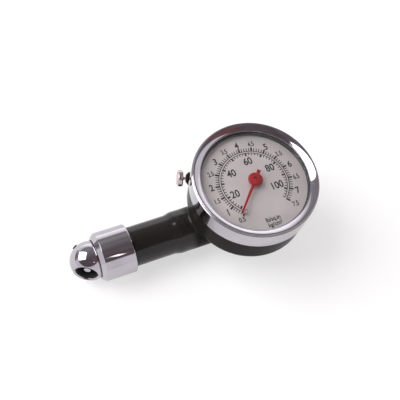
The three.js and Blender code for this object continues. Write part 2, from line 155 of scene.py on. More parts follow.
def mixed(shader, share, first, second, blend="MIX"):
    """A mix of two colours; the share and the colours are sockets or values."""
    made = add_node(shader, "ShaderNodeMix", data_type="RGBA", blend_type=blend)
    feed(share, made.inputs[MIX_SHARE])
    feed(first, made.inputs[MIX_FIRST])
    feed(second, made.inputs[MIX_SECOND])
    return made.outputs[MIX_RESULT]


def noise(shader, size_mm, detail=3.0, stretch=(1, 1, 1)):
    """Noise whose blotches are about size_mm across, longer along an axis whose stretch is high."""
    place = add_node(shader, "ShaderNodeTexCoord")
    scaled = add_node(shader, "ShaderNodeMapping", Scale=[1 / s for s in stretch])
    cloud = add_node(shader, "ShaderNodeTexNoise", Scale=1 / (size_mm * MM), Detail=detail)
    link(place.outputs["Object"], scaled.inputs["Vector"])
    link(scaled.outputs["Vector"], cloud.inputs["Vector"])
    return cloud.outputs["Fac"]


def ramp(shader, source, *stops):
    """A colour ramp: each stop is a position and a grey level or a colour."""
    made = add_node(shader, "ShaderNodeValToRGB")
    elements = made.color_ramp.elements
    while len(elements) < len(stops):
        elements.new(0.5)
    for element, (position, value) in zip(elements, stops):
        element.position = position
        shade = (value,) * 3 if isinstance(value, (int, float)) else value
        element.color = (*shade, 1)
    link(source, made.inputs["Fac"])
    return made.outputs["Color"]


def level(shader, source, low, high, start=0.3, end=0.7):
    """Turns a 0 to 1 pattern into a value between low and high."""
    made = add_node(shader, "ShaderNodeMapRange", From_Min=start, From_Max=end, To_Min=low, To_Max=high)
    link(source, made.inputs["Value"])
    return made.outputs["Result"]


def bump(shader, *heights):
    """Stacks bumps: each is a pattern and its height in mm."""
    last = None
    for source, height_mm in heights:
        made = add_node(shader, "ShaderNodeBump", Strength=1.0, Distance=height_mm * MM)
        link(source, made.inputs["Height"])
        if last is not None:
            link(last, made.inputs["Normal"])
        last = made.outputs["Normal"]
    link(last, shader.inputs["Normal"])


def scratches(shader, length_mm, width_mm, axis, share):
    """Fine straight lines along an axis: 1 on a scratch and 0 beside it."""
    stretch = [1, 1, 1]
    stretch[axis] = length_mm / width_mm
    lines = noise(shader, width_mm, 1.0, stretch)
    return ramp(shader, lines, (1 - share - 0.02, 0.0), (1 - share, 1.0))


# ---------------------------------------------------------------- materials
HANDLE_STARTS = (CASE_R - 0.7) * MM         # in metres, where the paint's clear coat begins
GLOSS_FADE = 3 * MM                         # in metres, over which the coat comes to its full weight
HANDLE_GLOSS = 0.6


def chrome():
    """Bright plate: wiped patches, very fine hairlines and a trace of waviness."""
    made, shader = new_material("polished_chrome")
    shader.inputs["Metallic"].default_value = 1
    patches = noise(shader, 9, 4)
    tint = ramp(shader, patches, (0.35, (0.465, 0.436, 0.478)), (0.65, (0.515, 0.486, 0.528)))
    speckle = ramp(shader, noise(shader, 0.3, 2), (0.3, 0.90), (0.7, 1.0))
    link(mixed(shader, 1, tint, speckle, "MULTIPLY"), shader.inputs["Base Color"])
    wiped = noise(shader, 2.5, 5, (3, 1, 1))
    link(level(shader, wiped, 0.03, 0.085), shader.inputs["Roughness"])
    bump(shader, (noise(shader, 8, 1), 0.0018), (noise(shader, 0.25, 2, (5, 1, 1)), 0.00025))
    return made


def nickel():
    """Warm nickel, a little duller than the chrome, with turning marks."""
    made, shader = new_material("warm_nickel")
    shader.inputs["Metallic"].default_value = 1
    patches = noise(shader, 2, 3)
    tint = ramp(shader, patches, (0.35, (0.53, 0.45, 0.44)), (0.7, (0.66, 0.58, 0.57)))
    link(tint, shader.inputs["Base Color"])
    link(level(shader, noise(shader, 0.8, 4), 0.18, 0.32), shader.inputs["Roughness"])
    bump(shader, (noise(shader, 0.2, 3), 0.0006))
    return made


def plain_metal(name, dark, light, low, high):
    """Machined metal for the small and inner pieces."""
    made, shader = new_material(name)
    shader.inputs["Metallic"].default_value = 1
    link(ramp(shader, noise(shader, 1.5, 4), (0.3, dark), (0.7, light)), shader.inputs["Base Color"])
    link(level(shader, noise(shader, 0.5, 4, (4, 1, 1)), low, high), shader.inputs["Roughness"])
    bump(shader, (noise(shader, 0.15, 2, (6, 1, 1)), 0.0008))
    return made


def black_gloss():
    """Black gloss paint over a casting: orange peel, hairline scratches and specks of dust. Hands
    have polished the handle, so its coat is glossier than the head's."""
    made, shader = new_material("black_gloss_paint")
    hairlines = scratches(shader, 5.0, 0.07, 0, 0.21)
    dust = ramp(shader, noise(shader, 0.35, 2), (0.76, 0.0), (0.80, 1.0))
    marks = math_node(shader, "MAXIMUM", hairlines, dust)
    patches = level(shader, noise(shader, 5, 1), 0.0, 0.8, 0.52, 0.66)
    worn = math_node(shader, "MULTIPLY", marks, patches)
    clouds = noise(shader, 14, 3)
    body = ramp(shader, clouds, (0.3, (0.0125, 0.0103, 0.0099)), (0.7, (0.0180, 0.0152, 0.0147)))
    link(mixed(shader, worn, body, (0.15, 0.14, 0.135)), shader.inputs["Base Color"])
    link(level(shader, noise(shader, 3, 5), 0.16, 0.30), shader.inputs["Roughness"])
    shader.inputs["IOR"].default_value = 1.10
    place = add_node(shader, "ShaderNodeTexCoord")
    parts = add_node(shader, "ShaderNodeSeparateXYZ")
    link(place.outputs["Object"], parts.inputs["Vector"])
    full = -HANDLE_STARTS - GLOSS_FADE
    coat = level(shader, parts.outputs["X"], HANDLE_GLOSS, 0.0, full, -HANDLE_STARTS)
    link(coat, shader.inputs["Coat Weight"])
    shader.inputs["Coat Roughness"].default_value = 0.12
    bump(shader, (noise(shader, 1.3, 3), 0.004), (noise(shader, 7, 2), 0.01))
    return made


def rubber():
    """Matt black rubber with a fine grain."""
    made, shader = new_material("matt_black_rubber")
    link(ramp(shader, noise(shader, 1, 4), (0.3, 0.012), (0.7, 0.026)), shader.inputs["Base Color"])
    link(level(shader, noise(shader, 0.4, 3), 0.55, 0.8), shader.inputs["Roughness"])
    bump(shader, (noise(shader, 0.12, 3), 0.004))
    return made


def dial_silver():
    """Satin silver paint on the dial: a fine sparkle and broad soft clouds."""
    made, shader = new_material("satin_silver_dial")
    shader.inputs["Metallic"].default_value = 0.55
    clouds = ramp(shader, noise(shader, 11, 3), (0.3, (0.535, 0.490, 0.488)), (0.7, (0.61, 0.562, 0.558)))
    grain = ramp(shader, noise(shader, 0.09, 2), (0.3, 0.90), (0.7, 1.0))
    link(mixed(shader, 1, clouds, grain, "MULTIPLY"), shader.inputs["Base Color"])
    link(level(shader, noise(shader, 0.3, 3), 0.36, 0.50), shader.inputs["Roughness"])
    bump(shader, (noise(shader, 0.08, 2), 0.0012))
    return made


def dial_print():
    """Black ink, slightly uneven."""
    made, shader = new_material("black_dial_print")
    link(ramp(shader, noise(shader, 0.3, 3), (0.3, 0.004), (0.7, 0.012)), shader.inputs["Base Color"])
    link(level(shader, noise(shader, 0.2, 3), 0.4, 0.6), shader.inputs["Roughness"])
    bump(shader, (noise(shader, 0.1, 2), 0.001))
    return made


def pointer_red():
    """Satin red paint whose tone varies in soft blotches."""
    made, shader = new_material("satin_red_paint")
    tint = ramp(shader, noise(shader, 1.2, 4), (0.3, (0.22, 0.003, 0.006)), (0.7, (0.27, 0.005, 0.010)))
    link(tint, shader.inputs["Base Color"])
    link(level(shader, noise(shader, 0.5, 3), 0.28, 0.42), shader.inputs["Roughness"])
    shader.inputs["IOR"].default_value = 1.22
    bump(shader, (noise(shader, 0.4, 2), 0.0008))
    return made


def clear_lens():
    """Clear moulded window: faint wiping marks in its gloss."""
    made, shader = new_material("clear_window")
    shader.inputs["Base Color"].default_value = (0.985, 0.985, 0.99, 1)
    shader.inputs["Transmission Weight"].default_value = 1
    shader.inputs["IOR"].default_value = 1.46
    link(level(shader, noise(shader, 4, 4), 0.0, 0.03), shader.inputs["Roughness"])
    return made


FINISH = {
    "chrome": chrome(),
    "black_gloss": black_gloss(),
    "lens_clear": clear_lens(),
    "black_rubber": rubber(),
    "dial_silver": dial_silver(),
    "dial_print": dial_print(),
    "pointer_red": pointer_red(),
    "nickel": nickel(),
    "steel": plain_metal("plain_steel", (0.42, 0.43, 0.45), (0.58, 0.59, 0.61), 0.22, 0.4),
    "brass": plain_metal("machined_brass", (0.60, 0.43, 0.18), (0.76, 0.60, 0.30), 0.2, 0.36),
}
for row in frame["record"]["subparts"]:
    shown = frame["nodes"][row["node"]]
    shown.data.materials.clear()
    shown.data.materials.append(FINISH[row["material_slot"]])


# ---------------------------------------------------------------- mesh helpers
def finish_mesh(name, mesh, slot, body, nodes, crease=35):
    """Smooth shading with true edges, the slot's finish, and a body to ride on, unless it is None."""
    shape = bmesh.new()
    shape.from_mesh(mesh)
    bmesh.ops.recalc_face_normals(shape, faces=shape.faces)
    for edge in shape.edges:
        edge.smooth = edge.is_manifold and edge.calc_face_angle(0) < math.radians(crease)
    for face in shape.faces:
        face.smooth = True
    shape.to_mesh(mesh)
    shape.free()
    mesh.materials.append(FINISH[slot])
    made = bpy.data.objects.new(name, mesh)
    bpy.context.scene.collection.objects.link(made)
    if body:
        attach(made, body)
    if nodes:
        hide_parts(*nodes)
    return made


def rounded(corners, loop=False, steps=6, support=0.06):
    """Corners of a profile as (radius, height, fillet); each fillet becomes an arc between two
    supporting points, which keep the flats beside it flat in smooth shading."""
    points = []
    for i, (radius, height, fillet) in enumerate(corners):
        here = Vector((radius, height))
        if fillet == 0 or (not loop and i in (0, len(corners) - 1)):
            points.append(here)
            continue
        back = (Vector(corners[i - 1][:2]) - here).normalized()
        ahead = (Vector(corners[(i + 1) % len(corners)][:2]) - here).normalized()
        half = back.angle(ahead) / 2
        reach = fillet / math.tan(half)
        centre = here + (back + ahead).normalized() * fillet / math.sin(half)
        first = here + back * reach - centre
        last = here + ahead * reach - centre
        points.append(centre + first + back * support)
        for step in range(steps + 1):
            points.append(centre + first.normalized().slerp(last.normalized(), step / steps) * fillet)
        points.append(centre + last + ahead * support)
    return [(p.x, p.y) for p in points]


def arc(radius, height, size, start, end, steps=12):
    """Points of an arc in a profile."""
    turns = [math.radians(start + (end - start) * i / steps) for i in range(steps + 1)]
    return [(radius + size * math.cos(t), height + size * math.sin(t)) for t in turns]


def to_frame(origin, way):
    """The matrix from a turned piece's own frame, in mm, to the row frame, in metres."""
    turn = UP.rotation_difference(way).to_matrix().to_4x4()
    return Matrix.Scale(MM, 4) @ Matrix.Translation(origin) @ turn


def lathe_mesh(name, profile, origin=HEAD, way=UP, segments=160):
    """A closed turned solid. A profile that leaves the axis closes on itself."""
    rings, points = [], []
    for radius, height in profile:
        count = segments if radius > 1e-6 else 1
        turns = np.arange(count) * 2 * math.pi / count
        rings.append(range(len(points), len(points) + count))
        points += [(radius * math.cos(t), radius * math.sin(t), height) for t in turns]
    pairs = list(zip(rings, rings[1:]))
    if profile[0][0] > 1e-6:
        pairs.append((rings[-1], rings[0]))
    faces = []
    for low, high in pairs:
        for i in range(max(len(low), len(high))):
            j = i + 1
            quad = (low[i % len(low)], low[j % len(low)], high[j % len(high)], high[i % len(high)])
            faces.append(list(dict.fromkeys(quad)))
    mesh = bpy.data.meshes.new(name)
    mesh.from_pydata(points, [], [f for f in faces if len(f) > 2])
    mesh.transform(to_frame(origin, way))
    return mesh


def lathe(name, profile, slot, body, nodes=(), origin=HEAD, way=UP, segments=160, crease=35):
    return finish_mesh(name, lathe_mesh(name, profile, origin, way, segments), slot, body, nodes, crease)


def prism_mesh(name, outline, low, high):
    """A flat piece with straight sides, from a list of points in mm, in the head's frame."""
    count = len(outline)
    points = [(x, y, low) for x, y in outline] + [(x, y, high) for x, y in outline]
    faces = [list(range(count))[::-1], list(range(count, 2 * count))]
    for i in range(count):
        j = (i + 1) % count
        faces.append([i, j, count + j, count + i])
    mesh = bpy.data.meshes.new(name)
    mesh.from_pydata(points, [], faces)
    mesh.transform(to_frame(HEAD, UP))
    return mesh


def sweep_mesh(name, stations, section, bore=(), origin=HEAD, way=UP):
    """A closed bar along a route, or a pipe if it has a bore. A station is a centre and the two
    directions of its section."""
    loops = [section, bore] if bore else [section]
    count, length = len(section), len(stations)
    points, faces = [], []
    for loop in loops:
        for centre, side, up in stations:
            points += [tuple(centre + side * u + up * v) for u, v in loop]
    for layer in range(len(loops)):
        for i in range(length - 1):
            start = (layer * length + i) * count
            for j in range(count):
                k = (j + 1) % count
                faces.append([start + j, start + k, start + count + k, start + count + j])
    for end in (0, (length - 1) * count):
        if not bore:
            faces.append([end + j for j in range(count)])
            continue
        inner = end + length * count
        for j in range(count):
            k = (j + 1) % count
            faces.append([end + j, end + k, inner + k, inner + j])
    mesh = bpy.data.meshes.new(name)
    mesh.from_pydata(points, [], faces)
    mesh.transform(to_frame(origin, way))
    return mesh


def oval(across, along, sides):
    """The points of an ellipse, from its half axes."""
    turns = [2 * math.pi * i / sides for i in range(sides)]
    return [(across * math.cos(t), along * math.sin(t)) for t in turns]


def merged(name, meshes):
    """One mesh from several, each still its own closed solid."""
    whole = bmesh.new()
    for mesh in meshes:
        whole.from_mesh(mesh)
        bpy.data.meshes.remove(mesh)
    mesh = bpy.data.meshes.new(name)
    whole.to_mesh(mesh)
    whole.free()
    return mesh


def combine(operation, base, tool):
    """Applies a boolean of two meshes and returns the result as a mesh."""
    host = bpy.data.objects.new("boolean_host", base)
    other = bpy.data.objects.new("boolean_tool", tool)
    for o in (host, other):
        bpy.context.scene.collection.objects.link(o)
    change = host.modifiers.new("boolean", "BOOLEAN")
    change.operation = operation
    change.solver = "EXACT"
    change.object = other
    bpy.context.view_layer.update()
    graph = bpy.context.evaluated_depsgraph_get()
    mesh = bpy.data.meshes.new_from_object(host.evaluated_get(graph))
    for o in (host, other):
        bpy.data.objects.remove(o)
    return mesh


# ---------------------------------------------------------------- the cast case and handle
NET_CELL = 0.55                 # spacing of the grid on which the casting is sampled
CASE_EDGE = 3.5                 # roundings of the case's back edge and of the handle's two ends
STEM_EDGE = 3.0
GRIP_EDGE = 0.4
STEM_END = -9.0                 # distances along the handle, from the dial's axis to the chuck
STEP_AT = (30.3, 34.0)          # between these two the neck narrows to the grip
GRIP_END = 50.7
STUB_R = 7.5                    # the bare end inside the collar
STUB_MIDDLE = 50.0
STUB_END = 54.2
PAD_R = 6.5
LEDGE_LEVEL = -0.95             # above it the hollow is wider, and below it is the dial's ledge
NECK_BLEND = 1.8                # how far the fillets spread: handle, rest pad and valve boss
PAD_BLEND = 1.2
BOSS_BLEND = 0.5
BOSS_R = 2.9
BOSS_MIDDLE, BOSS_HALF = -0.425, 0.975      # along the release valve's axis, as is the hole
VALVE_HOLE_R, VALVE_HOLE_HALF = 2.2, 4.0
HANDLE_BORE_R, HANDLE_BORE_END = 5.2, 36.0
AIR_WAY_R = 2.6                 # the air way along the handle, and the one up into the case
AIR_WAY_MIDDLE, AIR_WAY_HALF = 26.0, 11.5
RISER_AT, RISER_MIDDLE, RISER_HALF = 16.5, 14.0, 4.0
SCREW_HOLE_R, SCREW_HOLE_HALF = 1.45, 3.0


def quarter(across, along, size):
    """Distance to a corner region rounded by size: inside where across and along are negative."""
    u, v = across + size, along + size
    outer = np.hypot(np.maximum(u, 0), np.maximum(v, 0))
    return outer + np.minimum(np.maximum(u, v), 0) - size


def blended(a, b, reach):
    """The union of two distance fields, filleted over about reach."""
    h = np.maximum(reach - np.abs(a - b), 0) / reach
    return np.minimum(a, b) - h * h * reach / 4


def smoothstep(t):
    t = np.clip(t, 0, 1)
    return t * t * (3 - 2 * t)


def within(value, middle, half):
    """Distance to a slab: negative inside it."""
    return np.abs(value - middle) - half


def casting(x, y, z):
    """Signed distance, in mm, to the one-piece case and handle."""
    radius = np.hypot(x, y)
    level_z = z - DIAL_Z
    head = np.maximum(quarter(radius - CASE_R, CASE_BACK - level_z, CASE_EDGE), level_z - CASE_TOP)
    along = -x
    off_axis = np.hypot(y, z - HANDLE_Z)
    narrowing = smoothstep((along - STEP_AT[0]) / (STEP_AT[1] - STEP_AT[0]))
    side = off_axis - (NECK_R + (GRIP_R - NECK_R) * narrowing)
    stem = np.maximum(quarter(side, STEM_END - along, STEM_EDGE), quarter(side, along - GRIP_END, GRIP_EDGE))
    stub = np.maximum(off_axis - STUB_R, within(along, STUB_MIDDLE, STUB_END - STUB_MIDDLE))
    body = blended(head, np.minimum(stem, stub), NECK_BLEND)
    pad = np.maximum(radius - PAD_R, -z)
    body = blended(body, np.maximum(pad, z - HANDLE_Z), PAD_BLEND)
    out_x, out_y = VALVE_WAY.x, VALVE_WAY.y
    reach = (x - VALVE.x) * out_x + (y - VALVE.y) * out_y
    aside = np.hypot((x - VALVE.x) * -out_y + (y - VALVE.y) * out_x, z - VALVE.z)
    boss = np.maximum(aside - BOSS_R, within(reach, BOSS_MIDDLE, BOSS_HALF))
    body = blended(body, boss, BOSS_BLEND)
    hollow_r = np.where(level_z > LEDGE_LEVEL, SEAT_R, LEDGE_R)
    hollows = [
        np.maximum(radius - hollow_r, CASE_FLOOR - level_z),
        np.maximum(off_axis - HANDLE_BORE_R, HANDLE_BORE_END - along),
        np.maximum(off_axis - AIR_WAY_R, within(along, AIR_WAY_MIDDLE, AIR_WAY_HALF)),
        np.maximum(np.hypot(x + RISER_AT, y) - AIR_WAY_R, within(z, RISER_MIDDLE, RISER_HALF)),
        np.maximum(aside - VALVE_HOLE_R, within(reach, 0, VALVE_HOLE_HALF)),
    ]
    for way in (-1, 1):
        hole = np.hypot(x - SCREW_SPOT[0], y - way * SCREW_SPOT[1]) - SCREW_HOLE_R
        hollows.append(np.maximum(hole, within(level_z, CASE_BACK, SCREW_HOLE_HALF)))
    for hollow in hollows:
        body = np.maximum(body, -hollow)
    return body


def surface_net(field, low, high, cell):
    """A quad mesh of a distance field's zero surface: one point for each cell that it crosses."""
    axes = [np.arange(a - 2 * cell, b + 2 * cell, cell) for a, b in zip(low, high)]
    value = field(*np.meshgrid(*axes, indexing="ij"))
    inside = value < 0
    shape = np.array(value.shape) - 1
    total, count = np.zeros((*shape, 3)), np.zeros(shape)
    for axis in range(3):
        u, v = [a for a in range(3) if a != axis]
        for du in (0, 1):
            for dv in (0, 1):
                start = [slice(0, -1)] * 3
                start[u] = slice(du, du + shape[u])
                start[v] = slice(dv, dv + shape[v])
                end = list(start)
                end[axis] = slice(1, None)
                a, b = value[tuple(start)], value[tuple(end)]
                crossed = (a < 0) != (b < 0)
                t = np.where(crossed, a / np.where(crossed, a - b, 1), 0)
                total[..., axis] += t
                total[..., u] += crossed * du
                total[..., v] += crossed * dv
                count += crossed
    used = count > 0
    index = -np.ones(shape, int)
    index[used] = np.arange(used.sum())
    corner = np.argwhere(used) + total[used] / count[used][:, None]
    points = corner * cell + np.array([a[0] for a in axes])
    faces = []
    for axis in range(3):
        u, v = [(1, 2), (2, 0), (0, 1)][axis]
        start = [slice(1, -1)] * 3
        start[axis] = slice(0, -1)
        end = list(start)
        end[axis] = slice(1, None)
        a, b = inside[tuple(start)], inside[tuple(end)]
        for flip in (False, True):
            spot = np.argwhere(b & ~a if flip else a & ~b)
            offset = np.ones(3, int)
            offset[axis] = 0
            spot = spot + offset
            ring = []
            for du, dv in ((1, 1), (0, 1), (0, 0), (1, 0)):
                where = spot.copy()
                where[:, u] -= du
                where[:, v] -= dv
                ring.append(index[tuple(where.T)])
            quad = np.stack(ring, 1)
            faces.append(quad[:, ::-1] if flip else quad)
    return points, np.concatenate(faces)


def settle(points, field, rounds=6, step=0.02, stride=0.9, flattest=0.2):
    """Moves points onto the field's zero surface along its gradient, a stride of the way each
    round. Where the field is flatter than the flattest slope, the points move less."""
    for _ in range(rounds):
        value = field(*points.T)
        slope = np.empty_like(points)
        for axis in range(3):
            ahead = points.copy()
            ahead[:, axis] += step
            slope[:, axis] = (field(*ahead.T) - value) / step
        steepness = np.maximum((slope**2).sum(1), flattest)
        points = points - slope * (value / steepness)[:, None] * stride
    return points


def cast_case():
    """The cast case and handle as one smooth mesh."""
    low = (-STUB_END, -CASE_R, 0)
    high = (CASE_R, CASE_R, DIAL_Z + CASE_TOP)
    points, faces = surface_net(casting, low, high, NET_CELL)
    points = settle(points, casting)
    mesh = bpy.data.meshes.new("cast_case")
    mesh.from_pydata((points * MM).tolist(), [], faces.tolist())
    return finish_mesh("cast_case", mesh, "black_gloss", "gauge_body", ["case_body"], 50)


cast_case()

# ---------------------------------------------------------------- bezel, window and gasket
LIP_R = 21.85
BEVEL_IN, BEVEL_OUT = Vector((22.15, 3.45)), Vector((24.5, CREST))
BEVEL_CROWN = 0.11              # how far the bevel bulges above its chord


def bevel_points(steps=12):
    """The bezel's crowned bevel, from the lip up to the crest."""
    span = BEVEL_OUT - BEVEL_IN
    swell = Vector((-span.y, span.x)).normalized() * BEVEL_CROWN
    points = []
    for i in range(1, steps):
        t = i / steps
        point = BEVEL_IN + span * t + swell * 4 * t * (1 - t)
        points.append((point.x, point.y, 0))
    return points


BEZEL = rounded([
    (LIP_R, 3.05, 0.05),
    (LIP_R, 3.4, 0.12),
    (*BEVEL_IN, 0),
    *bevel_points(),
    (*BEVEL_OUT, 0),
    (25.00, CREST, 0.16),
    (25.00, 4.45, 0.04),
    (25.25, 4.40, 0.12),
    (25.25, 3.95, 0.05),
    (BEZEL_R, 3.85, 0.12),
    (BEZEL_R, SKIRT_BOTTOM + 0.55, 0.3),
    (BEZEL_R - 0.3, SKIRT_BOTTOM, 0.12),
    (BEZEL_R - 0.6, SKIRT_BOTTOM, 0.05),
    (BEZEL_R - 0.45, SKIRT_BOTTOM + 1, 0.2),
    (BEZEL_R - 0.45, 3.05, 0.05),
], loop=True)
lathe("bezel_shell", BEZEL, "chrome", "gauge_body", ["bezel_ring"], segments=512)

WINDOW_R = 21.7
FLANGE_R = 24.4                 # the window's flat edge and the gasket under it
DOME_STEPS = 24


def dome(top, drop):
    """A shallow dome in a profile, from the axis out to the window's radius."""
    steps = range(DOME_STEPS + 1)
    return [(WINDOW_R * i / DOME_STEPS, top - drop * (i / DOME_STEPS) ** 2) for i in steps]


WINDOW = dome(3.8, 1.8) + [(FLANGE_R, 2.0), (FLANGE_R, 3.0)] + dome(4.9, 1.9)[::-1]
window = lathe("clear_window", WINDOW, "lens_clear", "gauge_body", ["lens"], segments=192)
window.visible_shadow = False   # so that the lamps light the dial through it

GASKET_R = 21.45
GASKET = rounded([
    (GASKET_R, 0.1, 0.1),
    (22.9, 0.1, 0.1),
    (22.9, 1, 0),
    (FLANGE_R, 1, 0),
    (FLANGE_R, 1.9, 0),
    (GASKET_R, 1.9, 0.2),
], loop=True, steps=4)
lathe("window_gasket", GASKET, "black_rubber", "gauge_body", ["lens_gasket"], segments=192)

# ---------------------------------------------------------------- the dial's print
PRINT_LOW, PRINT_HIGH = -0.01, 0.02
SCALE_START = 229.4             # degrees about the dial's axis, at 0.5 kg/cm2
SCALE_SPAN = 279.0              # clockwise to 7.5 kg/cm2
FIRST, LAST = 0.5, 7.5
PSI_PER_KG = 14.2233
FIRST_POUNDS = 8
OUTER_BASE, OUTER_TIP = 14.1, 15.85
INNER_BASE, INNER_TIP = 13.3, 12.0
FINE_SHORTER = 0.35, 0.3        # how much shorter the fine lines are, outside and inside
BASE_WIDTH = 0.3
FINE_WIDTH = 0.34
BOLD_WIDTH = 0.75
ARC_STEPS = 180


def scale_angle(kg):
    return SCALE_START - SCALE_SPAN * (kg - FIRST) / (LAST - FIRST)


def tick(degrees, start, end, width):
    """One printed line from one radius to another."""
    along, across = Vector(polar(1, degrees)), Vector(polar(width / 2, degrees + 90))
    low, high = along * start, along * end
    outline = [low - across, high - across, high + across, low + across]
    return prism_mesh("tick", [tuple(p) for p in outline], PRINT_LOW, PRINT_HIGH)


def printed_arc(radius, width):
    """A printed arc along the whole scale."""
    turns = [SCALE_START - SCALE_SPAN * i / ARC_STEPS for i in range(ARC_STEPS + 1)]
    inner = [polar(radius - width / 2, t) for t in turns]
    outer = [polar(radius + width / 2, t) for t in reversed(turns)]
    return prism_mesh("arc", inner + outer, PRINT_LOW, PRINT_HIGH)


def dial_ticks():
    """Tenths of a kg/cm2 outside the two base lines, and every two pounds inside them."""
    marks = [printed_arc(OUTER_BASE, BASE_WIDTH), printed_arc(INNER_BASE, BASE_WIDTH)]
    for tenth in range(int(FIRST * 10), int(LAST * 10) + 1):
        bold = tenth % 5 == 0
        reach = OUTER_TIP if bold else OUTER_TIP - FINE_SHORTER[0]
        width = BOLD_WIDTH if bold else FINE_WIDTH
        marks.append(tick(scale_angle(tenth / 10), OUTER_BASE, reach, width))
    for pounds in range(FIRST_POUNDS, int(LAST * PSI_PER_KG) + 1, 2):
        bold = pounds % 10 == 0
        reach = INNER_TIP if bold else INNER_TIP + FINE_SHORTER[1]
        width = BOLD_WIDTH if bold else FINE_WIDTH
        marks.append(tick(scale_angle(pounds / PSI_PER_KG), INNER_BASE, reach, width))
    finish_mesh("dial_ticks", merged("dial_ticks", marks), "dial_print", "gauge_body", [])


def lettering(text, weight):
    """Flat lettering as a solid mesh, in the font's own units, its baseline starting at the origin.
    The weight is how far each stroke is widened on both sides."""
    curve = bpy.data.curves.new("lettering", "FONT")
    curve.body = text
    curve.resolution_u = 4
    curve.extrude = 0.5
    curve.offset = weight
    holder = bpy.data.objects.new("lettering", curve)
    bpy.context.scene.collection.objects.link(holder)
    bpy.context.view_layer.update()
    graph = bpy.context.evaluated_depsgraph_get()
    mesh = bpy.data.meshes.new_from_object(holder.evaluated_get(graph))
    bpy.data.objects.remove(holder)
    bpy.data.curves.remove(curve)
    return mesh


def mesh_span(mesh, axis):
    places = [v.co[axis] for v in mesh.vertices]
    return min(places), max(places)


WEIGHT = 0.024                  # in the font's own units
FIGURE_HEIGHT = mesh_span(lettering("8", WEIGHT), 1)[1]
CONDENSED = 0.86                # narrowing of the figures, and of the smaller ones between
HALVES_CONDENSED = 0.74
KG_R, KG_HEIGHT, HALVES_HEIGHT = 17.5, 2.8, 2.1
LAST_KG_R = 18.1
POUNDS_R, POUNDS_HEIGHT = 9.7, 3.1
HUNDRED_R, HUNDRED_TURN = 9.3, 6            # the widest figure stands off its mark
UNITS_X, UNITS_HEIGHT = 0.3, 1.85
POUNDS_UNIT_Y, KG_UNIT_Y = -16.7, -19.0


def label(text, x, y, height, condensed=CONDENSED):
    """Printed figures centred on a point of the dial; height is that of a figure, in mm."""
    mesh = lettering(text, WEIGHT)
    left, right = mesh_span(mesh, 0)
    size = height / FIGURE_HEIGHT
    thick = PRINT_HIGH - PRINT_LOW
    place = Matrix.Translation((x, y, (PRINT_LOW + PRINT_HIGH) / 2))
    scale = Matrix.Diagonal((size * condensed, size, thick, 1))
    centred = Matrix.Translation((-(left + right) / 2, -FIGURE_HEIGHT / 2, 0))
    mesh.transform(to_frame(HEAD, UP) @ place @ scale @ centred)
    weld = bmesh.new()
    weld.from_mesh(mesh)
    bmesh.ops.remove_doubles(weld, verts=weld.verts, dist=1e-7)
    weld.to_mesh(mesh)
    weld.free()
    return mesh


def dial_numbers():
    """The outer figures every half kg/cm2, the inner ones every 20 pounds, and the two units."""
    marks = []
    for half in range(int(FIRST * 2), int(LAST * 2) + 1):
        whole = half % 2 == 0
        text = str(half // 2) if whole else f"{half / 2:.1f}"
        height, condensed = (KG_HEIGHT, CONDENSED) if whole else (HALVES_HEIGHT, HALVES_CONDENSED)
        radius = LAST_KG_R if half == int(LAST * 2) else KG_R
        marks.append(label(text, *polar(radius, scale_angle(half / 2)), height, condensed))
    for pounds in range(20, 101, 20):
        radius, further = (HUNDRED_R, HUNDRED_TURN) if pounds == 100 else (POUNDS_R, 0)
        spot = polar(radius, scale_angle(pounds / PSI_PER_KG) + further)
        marks.append(label(str(pounds), *spot, POUNDS_HEIGHT))
    marks.append(label("lb/sq.in", UNITS_X, POUNDS_UNIT_Y, UNITS_HEIGHT))
    marks.append(label("kg/cm²", UNITS_X, KG_UNIT_Y, UNITS_HEIGHT))
    finish_mesh("dial_numbers", merged("dial_numbers", marks), "dial_print", "gauge_body", [])


dial_ticks()
dial_numbers()

# ---------------------------------------------------------------- pointer and stop
TIP_R = 16.2
TAIL_R = 4.6
TAIL_HALF = 0.8
NEEDLE_HALF = 0.66
TIP_HALF = 0.34
BORE_R = 0.6
BOSS_BOTTOM = 1.0
HUB_R = 1.5
CAP_R = 2.9
CAP_BOTTOM = 1.95
CAP_TOP = 3.3
BLADE_BOTTOM, BLADE_TOP = 2.05, 2.5


def pointer():
    """A domed red cap on a thin needle with a short square tail."""
    cap = rounded([
        (BORE_R, BOSS_BOTTOM, 0.05),
        (HUB_R, BOSS_BOTTOM, 0.05),
        (HUB_R, CAP_BOTTOM, 0.05),
        (CAP_R, CAP_BOTTOM, 0.08),
        (CAP_R, 2.65, 0.12),
        (2.5, 2.95, 0.25),
        (1.3, CAP_TOP, 0.5),
        (BORE_R, CAP_TOP, 0.08),
    ], loop=True, support=0.02)
    hub = lathe_mesh("hub", cap, segments=96)
    middle = TIP_R - TIP_HALF
    tip = [(middle + TIP_HALF * math.cos(t), TIP_HALF * math.sin(t)) for t in np.linspace(-1.4, 1.4, 12)]
    near = [(-TAIL_R, -TAIL_HALF), (-3.2, -0.7), (0, -NEEDLE_HALF)]
    outline = near + tip + [(x, -y) for x, y in reversed(near)]
    blade = prism_mesh("blade", outline, BLADE_BOTTOM, BLADE_TOP)
    blade.transform(Matrix.Rotation(math.radians(POINTER_ANGLE), 4, "Z"))
    hole_r = BORE_R + 0.05
    hole = lathe_mesh("hole", [(0, 1), (hole_r, 1), (hole_r, 4), (0, 4)], segments=96)
    blade = combine("DIFFERENCE", blade, hole)
    shape = merged("red_pointer", [hub, blade])
    finish_mesh("red_pointer", shape, "pointer_red", "pointer_shaft", ["pointer"])


